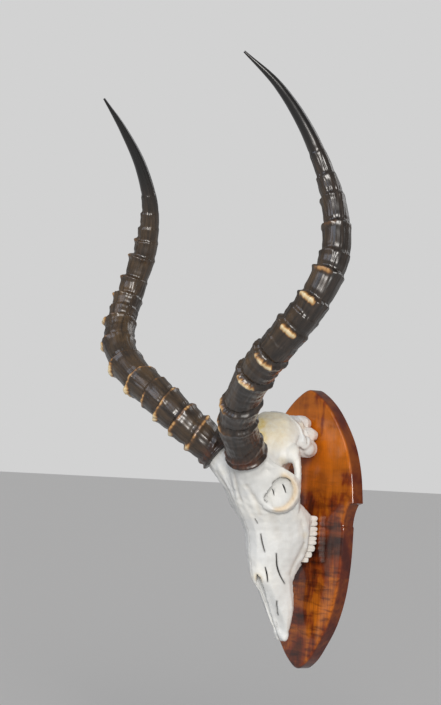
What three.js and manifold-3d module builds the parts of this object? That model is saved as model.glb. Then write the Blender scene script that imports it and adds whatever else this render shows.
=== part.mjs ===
// Skull and horns of an impala ram, without the lower jaw, on a shield-shaped wooden wall plaque.
// Millimetres. The origin is the middle of the plaque's back, which lies on the wall (y = 0).
// -Y points out of the wall, +Z up, and +X to the animal's left. The nose points down.

import * as THREE from 'three';
import { ParametricGeometry } from 'three/addons/geometries/ParametricGeometry.js';
import { mergeVertices } from 'three/addons/utils/BufferGeometryUtils.js';
import Module from 'manifold-3d';

const wasm = await Module();
wasm.setup();

// ---------------------------------------------------------------- driving dimensions

const GAP = 0.3; // clearance between touching pieces

const PLAQUE_THICKNESS = 15;
const PLAQUE_EDGE_RADIUS = 6; // rounded front edge
const PLAQUE_TOP = 160;
const PLAQUE_BOTTOM = -160;
// Right half of the outline as [x, z], from beside the apex down to the shoulder.
const PLAQUE_UPPER = [[20, 153], [42.5, 138], [62, 118], [79, 93.5], [89.5, 65], [94.5, 33]];
const PLAQUE_STEP = [87, 31]; // inner end of the short step under the shoulder
const PLAQUE_COVE = [79, 21]; // control point of the hollow below the step
const PLAQUE_CORNER = [78, 7]; // small corner where the hollow ends
const PLAQUE_LOWER = [[79.5, 5], [77.5, -36], [70.5, -73], [57, -105], [38, -131], [20, -150]];

// Centre line of the left horn, base to tip, as [x, y, z].
const HORN_PATH = [
  [28.5, -114, 81], [54, -144, 113], [92, -162, 144], [134, -172, 171], [174, -170, 201], [202, -155, 239],
  [210, -137, 285], [198, -129, 333], [182, -136, 381], [173, -156, 425], [165, -187, 465], [152, -223, 497],
];
// Diameter between the rings, as [distance along the horn, diameter].
const HORN_DIAMETERS = [
  [0, 43.5], [40, 41.5], [80, 40], [120, 38.5], [160, 37.5], [200, 36], [240, 34], [280, 32], [310, 30],
  [340, 28], [370, 24.5], [400, 20], [425, 17], [450, 15], [475, 12.8], [500, 10.2], [525, 7], [542, 4.4],
  [560, 2],
];
// Rings, as [distance along the horn, height].
const LEFT_RINGS = [
  [14, 2.2], [43, 2.8], [80, 3.2], [117, 3.6], [138, 1.4], [162, 3.6], [186, 1.2], [211, 3.6], [233, 1.8],
  [254, 3.8], [288, 3.8], [308, 2.6], [341, 3.2], [374, 2.6], [397, 1.4], [424, 0.8],
];
const RIGHT_RINGS = [
  [14, 2.2], [34, 2.8], [60, 3.2], [85, 3.6], [109, 1.6], [133, 3.8], [169, 4.2], [207, 4.6], [226, 1.6],
  [245, 4.6], [266, 2], [284, 4.2], [311, 3.4], [340, 4], [361, 2.6], [378, 1.8], [397, 1.4], [419, 0.8],
];
// A ring swells slowly over the first length, on the side of the base, and drops off over the second.
const RING_SWELL = 7.5;
const RING_DROP = 3.2;
const RING_BACK_SHARE = 0.35; // height of a ring on the inner back side, as a share of its height in front
const RING_TURN = Math.PI / 8; // from the front to where the rings stand highest, towards the outer side
const WIDE_RING_GAP = 24; // gaps between rings wider than this have a row of facets of their own
const RIGHT_TIP_DROP = 4.5; // the right horn ends a little lower than the left one
const HORN_SIDES = 12;

// Half sections of the snout and braincase at height z. Each row runs from the midline of the forehead
// side over the flank to the midline of the palate side, as [x, y].
const SKULL_SECTIONS = [
  [-128, [[0, -38.5], [3, -39.5], [5.5, -39.5], [6.5, -38.5], [6, -37.5], [4, -36.5], [2, -36.5], [0, -37]]],
  [-124, [[0, -41.5], [5, -43], [8.5, -42.5], [10.5, -40], [9.5, -37], [6, -35.5], [3, -35.5], [0, -37]]],
  [-116, [[0, -47], [5.5, -49], [10.5, -46.5], [14, -42], [13.5, -37], [10, -33.5], [5, -35], [0, -38]]],
  [-104, [[0, -53], [6, -55.5], [11, -52], [16, -45], [17.5, -38], [14.5, -32.5], [8, -35.5], [0, -40]]],
  [-90, [[0, -60], [6.5, -62], [12.5, -58], [18, -48], [20.5, -39], [18, -32.5], [10, -36], [0, -41]]],
  [-74, [[0, -69], [7, -70], [13.5, -65], [19, -52], [21.5, -41.5], [19, -35.5], [11, -38], [0, -42]]],
  [-60, [[0, -77], [7, -76.5], [14, -71], [20.5, -55], [22.5, -43.5], [19.5, -37], [12, -38.5], [0, -43]]],
  [-46, [[0, -82.5], [7.5, -81.5], [15.5, -75], [23, -59], [25.5, -44], [24, -34.5], [15, -37], [0, -44]]],
  [-32, [[0, -85.5], [8, -84.5], [17, -77.5], [27, -60], [30.5, -41], [29, -25], [17, -29], [0, -45]]],
  [-14, [[0, -87], [8.5, -86], [18, -79.5], [30.5, -61], [35.5, -41], [33.5, -24], [19, -28], [0, -45]]],
  [4, [[0, -93.5], [10, -91.5], [20, -84.5], [33, -66], [38.5, -44], [35, -24], [20, -28], [0, -44]]],
  [20, [[0, -103], [13, -101], [26, -94], [38, -77], [42.5, -53], [36, -31], [21, -31], [0, -43]]],
  [36, [[0, -111], [15, -109], [30, -101], [42, -86], [46, -69], [38, -57], [18, -45], [0, -41]]],
  [52, [[0, -117], [17, -116.5], [33, -109.5], [44, -94], [45, -76], [36, -64], [16, -50], [0, -39]]],
  [66, [[0, -120], [18, -119], [33, -112], [40, -96], [37, -78], [28, -66], [14, -50], [0, -38]]],
  [78, [[0, -119], [17, -118], [30, -110], [37, -95], [38, -78], [38, -64], [21, -47], [0, -36]]],
  [90, [[0, -117], [16, -116], [28, -107.5], [35.5, -91], [38, -73], [39, -56], [24, -38], [0, -32]]],
  [102, [[0, -110], [14.5, -108.5], [26.5, -100], [35.5, -84], [39, -67], [38, -48], [24, -33], [0, -29]]],
  [114, [[0, -98], [13, -96.5], [23.5, -89], [32, -75], [35, -60], [31, -45], [20, -32], [0, -28]]],
  [124, [[0, -85], [11, -83], [19, -77], [25.5, -68], [27, -57], [22, -48], [13, -40], [0, -36]]],
  [131, [[0, -73], [7, -71.5], [12, -68.5], [16, -63.5], [15.5, -58], [11.5, -55], [6, -53], [0, -52]]],
];
const SKULL_AROUND = 20; // facets around a section
const SKULL_ROWS = 27; // rows of facets along the skull

const ORBIT = { centre: [43, -82, 40], facing: [0.88, -0.46, -0.1], radius: 16.5, depth: 18 };
const ORBIT_RIM = { centre: [43, -79, 42], radius: 19.5, thickness: 6 };
const ORBIT_WALL = 4; // bone around the eye socket
// Bars of bone as lists of [x, y, z, radius]: the cheek arch from the ear down to the upper jaw, the bar
// behind the eye, and the crest across the back of the head.
const CHEEK_ARCH = [
  [35, -58, 92, 7], [42, -58, 82, 6.5], [46.5, -58.5, 74, 5], [48.8, -58.5, 66, 4], [49.5, -58.5, 55, 4.5],
  [48.5, -58, 45, 5], [44.5, -56.5, 33, 5.5], [38, -52, 22, 6],
];
const EYE_BAR = [[31, -98, 77, 6], [42, -89, 68, 5.5], [48, -74, 61, 4.8], [50, -62, 52, 4.5]];
const NUCHAL_CREST = [
  [0, -58, 130.5, 2.4], [11, -58, 130, 2.4], [20, -55, 126, 2.6], [27, -49, 120, 2.6],
  [33, -45, 111, 2.8], [37, -46, 101, 3], [38, -50, 92, 3],
];
// Hollow of the nose and the end of the nose bones over it, as lists of [x, y, z, radius].
const NASAL_HOLLOW = [
  [0, -66, -24, 7], [0, -70, -42, 9], [0, -73, -58, 10], [0, -65, -78, 8.5], [0, -54, -104, 5],
  [0, -46, -119, 2],
];
const NASAL_ROOF = [[0, -81, -26, 4], [0, -79.8, -46, 3.4], [0, -76.5, -65, 1]];
const NASAL_ROOF_FLATNESS = 2.4; // width over thickness
// Stub of bone under each horn, which keeps clear of the horn inside the seat's radius.
const PEDICLE = { depth: 36, rootRadius: 27, topRadius: 19.5 };
const HORN_SEAT = { radius: 25.5, depth: 60 };

// Cheek teeth from front to back, as [length along the row, width across it].
const TEETH = [[5.5, 6.5], [6.5, 7.5], [7.5, 9], [10, 10], [11, 10.5], [12, 10.5]];
const TOOTH_ROW_START = [24, -37]; // front end of the row's middle line, as [x, z]
const TOOTH_ROW_BEND = [28.5, -18];
const TOOTH_ROW_END = [27, 16];
const TOOTH_ROOT_Y = -33;
const TOOTH_GUM_Y = -22;
const TOOTH_CROWN_Y = -PLAQUE_THICKNESS - GAP;
const TOOTH_SIDES = 8;
const TOOTH_CORNER = 0.8; // 0 leaves the crown round and 1 makes it square
const TOOTH_WAIST = 0.12; // how far the outer and inner face are hollowed
const TOOTH_BEVEL = 1.5; // height of the narrowing at the chewing face
// Width of the groove they stand in, as [fraction of the row, width].
const TOOTH_GROOVE_WIDTHS = [[0, 7.6], [0.14, 8.6], [0.34, 10.8], [0.57, 11.4], [1, 11.6]];

// ---------------------------------------------------------------- materials

const bone = new THREE.MeshStandardMaterial({ color: 0xe6e4dc, roughness: 0.62, metalness: 0 });
const enamel = new THREE.MeshStandardMaterial({ color: 0xefe8d8, roughness: 0.35, metalness: 0 });
const horn = new THREE.MeshStandardMaterial({ color: 0x2b2520, roughness: 0.42, metalness: 0 });
const wood = new THREE.MeshStandardMaterial({ color: 0x8f420e, roughness: 0.18, metalness: 0 });

// ---------------------------------------------------------------- solids and meshes

// Vertices without repeats, and triangles without the empty ones that poles leave.
function weld(geometry) {
  geometry.deleteAttribute('normal');
  geometry.deleteAttribute('uv');
  const welded = mergeVertices(geometry);
  const position = welded.getAttribute('position');
  const corners = [0, 1, 2].map(() => new THREE.Vector3());
  const triangles = [];
  let volume = 0;
  for (let i = 0; i < welded.index.count; i += 3) {
    const [a, b, c] = [0, 1, 2].map((k) => welded.index.getX(i + k));
    if (a === b || b === c || c === a) continue;
    triangles.push(a, b, c);
    [a, b, c].forEach((index, k) => corners[k].fromBufferAttribute(position, index));
    volume += corners[0].dot(corners[1].clone().cross(corners[2]));
  }
  if (volume < 0) triangles.reverse();
  return { vertices: position.array, triangles };
}

function toSolid(geometry) {
  const { vertices, triangles } = weld(geometry);
  const triVerts = new Uint32Array(triangles);
  return new wasm.Manifold(new wasm.Mesh({ numProp: 3, vertProperties: vertices, triVerts }));
}

function toMesh(name, solid, material) {
  const { vertProperties, triVerts } = solid.getMesh();
  const geometry = new THREE.BufferGeometry();
  geometry.setAttribute('position', new THREE.BufferAttribute(vertProperties, 3));
  geometry.setIndex(new THREE.BufferAttribute(triVerts, 1));
  geometry.computeVertexNormals();
  const mesh = new THREE.Mesh(geometry, material);
  mesh.name = name;
  return mesh;
}

function join(solids) {
  return solids.reduce((all, solid) => all.add(solid));
}

function cut(solid, tools) {
  return tools.reduce((left, tool) => left.subtract(tool), solid);
}

const MIRROR = new THREE.Matrix4().makeScale(-1, 1, 1);

// The solid of a shape on the animal's left together with its mirror image on the right.
function pair(geometry) {
  const other = geometry.clone().applyMatrix4(MIRROR);
  return [toSolid(geometry), toSolid(other)];
}

// Closed skin over a list of rings that hold the same number of points.
function loft(rings) {
  const sides = rings[0].length;
  const middle = (ring) => ring.reduce((sum, p) => sum.add(p), new THREE.Vector3()).divideScalar(sides);
  const ends = [middle(rings[0]), middle(rings[rings.length - 1])];
  const rows = rings.length + 1;
  return new ParametricGeometry((u, v, target) => {
    const row = Math.round(v * rows);
    if (row === 0) return target.copy(ends[0]);
    if (row === rows) return target.copy(ends[1]);
    return target.copy(rings[row - 1][Math.round(u * sides) % sides]);
  }, sides, rows);
}

// Rings across a curve. Angle zero faces `front`; radiusAt gives the radius at a fraction and an angle.
function sweep(curve, fractions, sides, front, radiusAt) {
  return loft(fractions.map((fraction) => {
    const centre = curve.getPointAt(fraction);
    const along = curve.getTangentAt(fraction);
    const forward = front.clone().addScaledVector(along, -front.dot(along)).normalize();
    const across = new THREE.Vector3().crossVectors(along, forward);
    return Array.from({ length: sides }, (_, side) => {
      const angle = (side / sides) * 2 * Math.PI;
      const radius = radiusAt(fraction, angle);
      return centre.clone()
        .addScaledVector(forward, radius * Math.cos(angle))
        .addScaledVector(across, radius * Math.sin(angle));
    });
  }));
}

// Value at `at` in a list of [position, value] pairs.
function interpolate(table, at) {
  const next = table.findIndex(([position]) => position > at);
  if (next === 0) return table[0][1];
  if (next < 0) return table[table.length - 1][1];
  const [[before, low], [after, high]] = [table[next - 1], table[next]];
  return low + (high - low) * ((at - before) / (after - before));
}

// Ellipsoid with its first radius along X, turned by `turn` about the X, Y and Z axes in degrees.
function ball(centre, radii, turn = [0, 0, 0], detail = 10) {
  const geometry = new THREE.SphereGeometry(1, detail, detail / 2);
  const angles = turn.map(THREE.MathUtils.degToRad);
  const rotation = new THREE.Quaternion().setFromEuler(new THREE.Euler(...angles));
  return geometry.applyMatrix4(new THREE.Matrix4().compose(
    new THREE.Vector3(...centre), rotation, new THREE.Vector3(...radii)));
}

// Matrix that carries the Z axis onto `direction` and the origin onto `centre`.
function aim(centre, direction) {
  const zAxis = new THREE.Vector3(0, 0, 1);
  const rotation = new THREE.Quaternion().setFromUnitVectors(zAxis, direction.clone().normalize());
  return new THREE.Matrix4().compose(centre, rotation, new THREE.Vector3(1, 1, 1));
}

// Bar with round section through points given as [x, y, z, radius].
function bar(points, sides, rows) {
  const curve = new THREE.CatmullRomCurve3(points.map(([x, y, z]) => new THREE.Vector3(x, y, z)));
  const radii = points.map(([, , , radius], i) => [i / (points.length - 1), radius]);
  const fractions = Array.from({ length: rows + 1 }, (_, i) => i / rows);
  return sweep(curve, fractions, sides, new THREE.Vector3(1, 0, 0), (at) => interpolate(radii, at));
}

// ---------------------------------------------------------------- plaque

function plaqueSolid() {
  const mirrored = (points) => points.map(([x, z]) => [-x, z]).reverse();
  const vectors = (points) => points.map(([x, z]) => new THREE.Vector2(x, z));
  const top = [...mirrored(PLAQUE_UPPER), [0, PLAQUE_TOP], ...PLAQUE_UPPER];
  const [start, ...rest] = vectors(top);
  const outline = new THREE.Shape();
  outline.moveTo(start.x, start.y);
  outline.splineThru(rest);
  outline.lineTo(...PLAQUE_STEP);
  outline.quadraticCurveTo(...PLAQUE_COVE, ...PLAQUE_CORNER);
  outline.lineTo(...PLAQUE_LOWER[0]);
  outline.splineThru(vectors([...PLAQUE_LOWER.slice(1), [0, PLAQUE_BOTTOM]]));
  outline.splineThru(vectors(mirrored(PLAQUE_LOWER)));
  outline.lineTo(-PLAQUE_CORNER[0], PLAQUE_CORNER[1]);
  outline.quadraticCurveTo(-PLAQUE_COVE[0], PLAQUE_COVE[1], -PLAQUE_STEP[0], PLAQUE_STEP[1]);
  outline.closePath();
  const board = new THREE.ExtrudeGeometry(outline, {
    depth: PLAQUE_THICKNESS - PLAQUE_EDGE_RADIUS,
    bevelThickness: PLAQUE_EDGE_RADIUS,
    bevelSize: PLAQUE_EDGE_RADIUS,
    bevelOffset: -PLAQUE_EDGE_RADIUS,
    bevelSegments: 3,
    curveSegments: 2,
  }).rotateX(Math.PI / 2);
  // The back is flat: the second rounded edge, behind the wall plane, is cut off.
  const behind = new THREE.BoxGeometry(400, 40, 400).translate(0, 20, 0);
  return toSolid(board).subtract(toSolid(behind));
}

// ---------------------------------------------------------------- horns

const hornCurve = new THREE.CatmullRomCurve3(HORN_PATH.map((p) => new THREE.Vector3(...p)));
const hornLength = hornCurve.getLength();
const hornBase = hornCurve.getPointAt(0);
const hornDirection = hornCurve.getTangentAt(0);

// Rings are highest on the front and outer side and fade towards the back.
function ringHeight(rings, distance, angle) {
  const facing = 0.5 + 0.5 * Math.cos(angle - RING_TURN);
  const strength = RING_BACK_SHARE + (1 - RING_BACK_SHARE) * facing;
  return rings.reduce((sum, [at, height]) => {
    const offset = (distance - at) / (distance < at ? RING_SWELL : RING_DROP);
    return sum + height * strength * Math.exp(-offset * offset);
  }, 0);
}

// Rows of facets: three on every ring, one in wide gaps, and a few on the smooth tip.
function hornRows(rings) {
  const lastRing = rings[rings.length - 1][0];
  const onRings = rings.flatMap(([at]) => [at - RING_SWELL, at, at + RING_DROP * 1.2]);
  const between = rings.slice(1).flatMap(([at], i) => {
    const before = rings[i][0];
    return at - before > WIDE_RING_GAP ? [(at + before) / 2] : [];
  });
  const tip = [0.25, 0.5, 0.7, 0.87, 0.96].map((part) => lastRing + part * (hornLength - lastRing));
  const rows = [0, ...onRings, ...between, ...tip, hornLength - 1].filter((at) => at >= 0);
  return rows.sort((a, b) => a - b).map((at) => at / hornLength);
}

function hornGeometry(rings) {
  const front = new THREE.Vector3(0, -1, 0);
  return sweep(hornCurve, hornRows(rings), HORN_SIDES, front, (fraction, angle) => {
    const distance = fraction * hornLength;
    return interpolate(HORN_DIAMETERS, distance) / 2 + ringHeight(rings, distance, angle);
  });
}

// Mirror image for the right side, whose height shrinks evenly so that the tip ends lower.
function rightHornGeometry() {
  const geometry = hornGeometry(RIGHT_RINGS).applyMatrix4(MIRROR);
  const rise = HORN_PATH[HORN_PATH.length - 1][2] - hornBase.z;
  const shrink = new THREE.Matrix4().makeScale(1, 1, 1 - RIGHT_TIP_DROP / rise);
  return geometry.translate(0, 0, -hornBase.z).applyMatrix4(shrink).translate(0, 0, hornBase.z);
}

// ---------------------------------------------------------------- skull

function craniumGeometry() {
  const heights = SKULL_SECTIONS.map(([z]) => z);
  const halfPoints = SKULL_SECTIONS[0][1].length;
  const lines = Array.from({ length: halfPoints }, (_, k) => new THREE.CatmullRomCurve3(
    SKULL_SECTIONS.map(([z, points]) => new THREE.Vector3(...points[k], z)), false, 'catmullrom'));
  const rings = Array.from({ length: SKULL_ROWS + 1 }, (_, row) => {
    const z = heights[0] + (row / SKULL_ROWS) * (heights[heights.length - 1] - heights[0]);
    const after = Math.max(1, heights.findIndex((height) => height >= z));
    const part = (z - heights[after - 1]) / (heights[after] - heights[after - 1]);
    const half = lines.map((line) => line.getPoint((after - 1 + part) / (heights.length - 1)));
    const other = half.slice(1, -1).reverse().map((p) => new THREE.Vector3(-p.x, p.y, p.z));
    const outline = new THREE.CatmullRomCurve3([...half, ...other], true, 'centripetal');
    return Array.from({ length: SKULL_AROUND }, (_, side) => outline.getPointAt(side / SKULL_AROUND));
  });
  return loft(rings);
}

function orbitTools() {
  const facing = new THREE.Vector3(...ORBIT.facing);
  const place = aim(new THREE.Vector3(...ORBIT.centre), facing);
  const rimPlace = aim(new THREE.Vector3(...ORBIT_RIM.centre), facing);
  const rim = new THREE.TorusGeometry(ORBIT_RIM.radius, ORBIT_RIM.thickness, 5, 16);
  const bowl = new THREE.SphereGeometry(1, 12, 7).scale(ORBIT.radius, ORBIT.radius, ORBIT.depth);
  // The socket's wall is the inner half of a ball.
  const [width, depth] = [ORBIT.radius + ORBIT_WALL, ORBIT.depth + ORBIT_WALL];
  const [rows, sides] = [4, 12];
  const halfBall = loft(Array.from({ length: rows }, (_, row) => {
    const angle = (row / rows) * (Math.PI / 2);
    const radius = width * Math.cos(angle);
    return Array.from({ length: sides }, (__, side) => {
      const turn = (side / sides) * 2 * Math.PI;
      return new THREE.Vector3(radius * Math.cos(turn), radius * Math.sin(turn), -depth * Math.sin(angle));
    });
  }));
  return {
    solid: [...pair(rim.applyMatrix4(rimPlace)), ...pair(halfBall.applyMatrix4(place))],
    bowl: pair(bowl.applyMatrix4(place)),
  };
}

function pedicles() {
  const { depth, rootRadius, topRadius } = PEDICLE;
  const stub = new THREE.CylinderGeometry(topRadius, rootRadius, depth, 16, 2).rotateX(Math.PI / 2);
  const centre = hornBase.clone().addScaledVector(hornDirection, -GAP - depth / 2);
  return pair(stub.applyMatrix4(aim(centre, hornDirection)));
}

// Room for the horn above its base plane.
function hornSeats() {
  const { radius, depth } = HORN_SEAT;
  const seat = new THREE.CylinderGeometry(radius, radius, depth, 16).rotateX(Math.PI / 2);
  const centre = hornBase.clone().addScaledVector(hornDirection, depth / 2 - GAP);
  return pair(seat.applyMatrix4(aim(centre, hornDirection)));
}

// Hollow of the nose, open towards the forehead side between the two prongs of the snout.
function nasalHollow() {
  return toSolid(bar(NASAL_HOLLOW, 12, 9));
}

// Flat pointed end of the nose bones over that hollow.
function nasalRoof() {
  return toSolid(bar(NASAL_ROOF, 10, 5).scale(NASAL_ROOF_FLATNESS, 1, 1));
}

// Back of the head: roots of the cheek arches, condyles, the sides beside them, the ear bones and the
// middle.
function occiput() {
  return [
    ...pair(ball([39, -62, 84], [9, 9, 11])),
    ...pair(ball([8, -30, 120], [11, 14, 10])),
    ...pair(ball([20, -30, 107], [12, 15.5, 10])),
    ...pair(ball([29, -35, 92], [9, 15, 12])),
    toSolid(ball([0, -44, 107], [31, 22, 24])),
  ];
}

// ---------------------------------------------------------------- cheek teeth

const toothRow = new THREE.QuadraticBezierCurve(
  ...[TOOTH_ROW_START, TOOTH_ROW_BEND, TOOTH_ROW_END].map(([x, z]) => new THREE.Vector2(x, z)));
const toothRowLength = TEETH.reduce((sum, [length]) => sum + length, 0);

// A crown with a waist on its outer and inner face.
function toothGeometry(index) {
  const before = TEETH.slice(0, index).reduce((sum, [length]) => sum + length, 0);
  const [length, width] = TEETH[index];
  const fraction = (before + length / 2) / toothRowLength;
  const centre = toothRow.getPointAt(fraction);
  const along = toothRow.getTangentAt(fraction);
  const halfLength = (length - GAP) / 2;
  const halfWidth = width / 2;
  const ring = (y, scale) => Array.from({ length: TOOTH_SIDES }, (_, side) => {
    const angle = (side / TOOTH_SIDES) * 2 * Math.PI;
    const [c, s] = [Math.cos(angle), Math.sin(angle)];
    const squared = Math.max(Math.abs(c), Math.abs(s)) ** TOOTH_CORNER;
    const waist = 1 - TOOTH_WAIST * Math.abs(s) ** 8;
    const forward = (c / squared) * halfLength * scale;
    const outward = (s / squared) * halfWidth * waist * scale;
    return new THREE.Vector3(
      centre.x + along.x * forward + along.y * outward, y, centre.y + along.y * forward - along.x * outward);
  });
  const rings = [ring(TOOTH_ROOT_Y, 0.9), ring(TOOTH_GUM_Y, 1), ring(TOOTH_CROWN_Y - TOOTH_BEVEL, 1)];
  return loft([...rings, ring(TOOTH_CROWN_Y, 0.82)]);
}

// The groove in the jaw that holds one row of teeth, a gap wider than the teeth all round.
function toothGroove() {
  const stops = [-0.03, 0.14, 0.34, 0.57, 0.8, 1.03];
  const [deep, open] = [TOOTH_ROOT_Y - GAP, 0];
  return loft(stops.map((stop) => {
    const fraction = THREE.MathUtils.clamp(stop, 0, 1);
    const at = toothRow.getPointAt(fraction);
    const along = toothRow.getTangentAt(fraction);
    at.addScaledVector(along, (stop - fraction) * toothRowLength);
    const half = interpolate(TOOTH_GROOVE_WIDTHS, fraction) / 2;
    return [[half, deep], [half, open], [-half, open], [-half, deep]].map(([side, y]) => new THREE.Vector3(
      at.x + along.y * side, y, at.y - along.x * side));
  }));
}

// ---------------------------------------------------------------- assembly

function skullSolid() {
  const orbit = orbitTools();
  const bars = [bar(CHEEK_ARCH, 6, 11), bar(EYE_BAR, 6, 5), bar(NUCHAL_CREST, 5, 9)].flatMap(pair);
  const body = join([toSolid(craniumGeometry()), ...orbit.solid, ...bars, ...pedicles(), ...occiput()]);
  const tipNotch = toSolid(ball([0, -39, -129], [1.6, 7, 9]));
  const foramen = toSolid(ball([0, -16, 112], [8, 12, 8]));
  const wallSide = new THREE.BoxGeometry(300, 60, 400).translate(0, 30 - PLAQUE_THICKNESS - GAP, 0);
  const open = cut(body, [...orbit.bowl, nasalHollow(), foramen, tipNotch, ...hornSeats()]);
  return cut(open.add(nasalRoof()), [...pair(toothGroove()), toSolid(wallSide)]);
}

const mount = new THREE.Group();
mount.add(toMesh('plaque', plaqueSolid(), wood));
mount.add(toMesh('skull', skullSolid(), bone));
mount.add(toMesh('horn_left', toSolid(hornGeometry(LEFT_RINGS)), horn));
mount.add(toMesh('horn_right', toSolid(rightHornGeometry()), horn));
TEETH.forEach((_, index) => {
  const [left, right] = pair(toothGeometry(index));
  mount.add(toMesh(`tooth_left_${index + 1}`, left, enamel));
  mount.add(toMesh(`tooth_right_${index + 1}`, right, enamel));
});

export default mount;
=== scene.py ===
"""Skull and horns of an impala ram, European-mounted on a lacquered wall plaque.

Every piece is modelled at its real size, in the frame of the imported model: metres, -Y out of the wall,
+Z up and +X to the animal's left. Constants are in millimetres unless they say otherwise.
"""

import math

import bmesh
import bpy
from bpy.props import FloatProperty, FloatVectorProperty, IntProperty, PointerProperty
from mathutils import Matrix, Vector, noise
from mathutils.bvhtree import BVHTree
from mathutils.kdtree import KDTree


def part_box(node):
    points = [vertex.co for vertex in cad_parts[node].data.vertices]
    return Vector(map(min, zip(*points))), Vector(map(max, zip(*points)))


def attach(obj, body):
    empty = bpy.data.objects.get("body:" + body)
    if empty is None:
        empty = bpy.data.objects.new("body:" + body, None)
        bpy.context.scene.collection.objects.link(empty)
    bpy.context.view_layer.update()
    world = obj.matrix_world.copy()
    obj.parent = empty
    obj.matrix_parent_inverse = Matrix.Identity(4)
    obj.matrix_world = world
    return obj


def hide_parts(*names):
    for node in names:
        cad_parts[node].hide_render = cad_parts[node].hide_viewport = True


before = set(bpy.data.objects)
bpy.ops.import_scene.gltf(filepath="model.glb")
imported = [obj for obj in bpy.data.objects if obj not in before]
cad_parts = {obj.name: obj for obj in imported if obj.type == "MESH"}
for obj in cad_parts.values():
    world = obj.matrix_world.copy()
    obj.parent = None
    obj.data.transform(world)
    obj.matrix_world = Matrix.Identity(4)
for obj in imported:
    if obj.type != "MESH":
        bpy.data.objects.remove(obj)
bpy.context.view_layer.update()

bl_info = {
    "name": "Impala Skull Mount",
    "version": (1, 0, 0),
    "blender": (4, 5, 0),
    "location": "3D View > Sidebar > Skull Mount",
    "description": "Builds an impala skull with its horns on a lacquered wall plaque",
    "category": "Add Mesh",
}

MM = 0.001

# ------------------------------------------------------------------ driving dimensions

# The board: its outline is the solid's own, and only its rounded front edge is made finer.
PLAQUE_THICKNESS = 15
PLAQUE_UPPER = [(20, 153), (42.5, 138), (62, 118), (79, 93.5), (89.5, 65), (94.5, 33)]
PLAQUE_TOP = (0, 160)
PLAQUE_STEP = (87, 31)
PLAQUE_COVE = (79, 21)
PLAQUE_CORNER = (78, 7)
PLAQUE_LOWER = [(79.5, 5), (77.5, -36), (70.5, -73), (57, -105), (38, -131), (20, -150)]
PLAQUE_BOTTOM = (0, -160)
EDGE_ROUNDS = 8  # facets across the rounded front edge
SHARP_FACES = 0.6  # angle in radians from which an edge between faces is shaded sharp
# How light the wood is, by the share of the way up the board.
WOOD_LEVELS = [(0.0, 0.56), (0.24, 0.58), (0.33, 0.4), (0.42, 0.24), (0.5, 0.3), (0.56, 0.5), (0.85, 0.6)]

# Centre line of the left horn from base to tip, the same route as the solid's.
HORN_PATH = [
    (28.5, -114, 81), (54, -144, 113), (92, -162, 144), (134, -172, 171), (174, -170, 201),
    (202, -155, 239), (210, -137, 285), (198, -129, 333), (182, -136, 381), (173, -156, 425),
    (165, -187, 465), (152, -223, 497),
]
# Diameter between the rings, as (distance along the horn, diameter).
HORN_DIAMETERS = [
    (0, 43.5), (40, 41.5), (80, 40), (120, 38.5), (160, 37.5), (200, 36), (240, 34), (280, 32), (310, 30),
    (340, 28), (370, 24.5), (400, 20), (425, 17), (450, 15), (475, 12.8), (500, 10.2), (525, 7), (542, 4.4),
    (560, 2),
]
# Rings, as (distance along the horn, height of the crest).
LEFT_RINGS = [
    (16, 2.2), (58, 2.8), (92, 3.4), (144, 3.9), (163, 1.2), (181, 3.9), (202, 1.2), (221, 3.9), (239, 1.8),
    (257, 3.9), (288, 3.9), (308, 2.6), (341, 3.2), (374, 2.6), (397, 1.4), (424, 0.8),
]
RIGHT_RINGS = [
    (14, 2.2), (36, 3.2), (59, 3.8), (88, 4), (112, 2.2), (137, 4), (176, 4.2), (215, 4.6), (233, 1.8),
    (251, 4.6), (268, 2), (286, 4.2), (311, 3.4), (340, 4), (361, 2.6), (378, 1.8), (397, 1.4), (419, 0.8),
]
RIGHT_TIP_DROP = 4.5
# How far a ring sits nearer the base in front and nearer the tip behind: (distance of the ring, tilt).
RING_TILTS = [(0, 5.5), (20, 5.5), (58, 3.0), (92, 8.0), (130, 0.0), (560, 0.0)]
RING_TURN = math.radians(22.5)  # from the front to where the rings stand highest, towards the outer side
# Height of a ring at the back, as a share of its height in front, by the distance along the horn.
RING_BACK_SHARE = [(0, 0.9), (60, 0.85), (130, 0.65), (200, 0.4), (300, 0.2), (560, 0.15)]
# Profile of a ring: how far it reaches before and behind its place, and the width of its crest on the base
# side and on the tip side, where the lowest rings are blunter.
RING_REACH = (-26, 16)
CREST_WIDTHS = (4.2, 1.5)
CREST_BLUNTER = 1.3
# The swell that leads to a ring and the groove behind it, as (place, width, share of the ring's height).
RING_SWELL = (-8, 8.5, 0.32)
RING_GROOVE = (4.4, 2.8, -0.42)
PAD_TURN = math.radians(34)  # middle of the rubbed pads on the rings
PAD_HEIGHT = 1.3
PAD_START, PAD_FADE = (90, 135), (262, 300)  # distances between which the pads come in and fade
LINE_START, LINE_FADE = (16, 40), (220, 130)  # the same for the worn lines along the crests
KNOB_TURNS = (math.radians(28), math.radians(206))  # knobs at the ends of the rings
KNOB_HEIGHT = 1.2
LOW_RUB_TURN = math.radians(-10)  # middle of the faint rubs on the low rings, where crests are dark
LOW_RUB_ZONE = (30, 110)
# Grown surface of the sheath, as (fineness across, fineness along, height): fibres, furrows and lumps.
SHEATH_NOISE = [(0.75, 0.025, 0.42), (0.3, 0.04, 0.5), (0.09, 0.05, 0.6)]
WRINKLE_ZONE = (175, 110)  # growth wrinkles run around the horn below this
WRINKLE_HEIGHTS = {1: 0.55, -1: 0.15}  # on the left and the right horn
# Thick lip on the skull and the groove above it, as (distance, width, height).
SHEATH_RIM = [(2, 1.7, 2.3), (6, 1.8, -0.9)]

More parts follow.
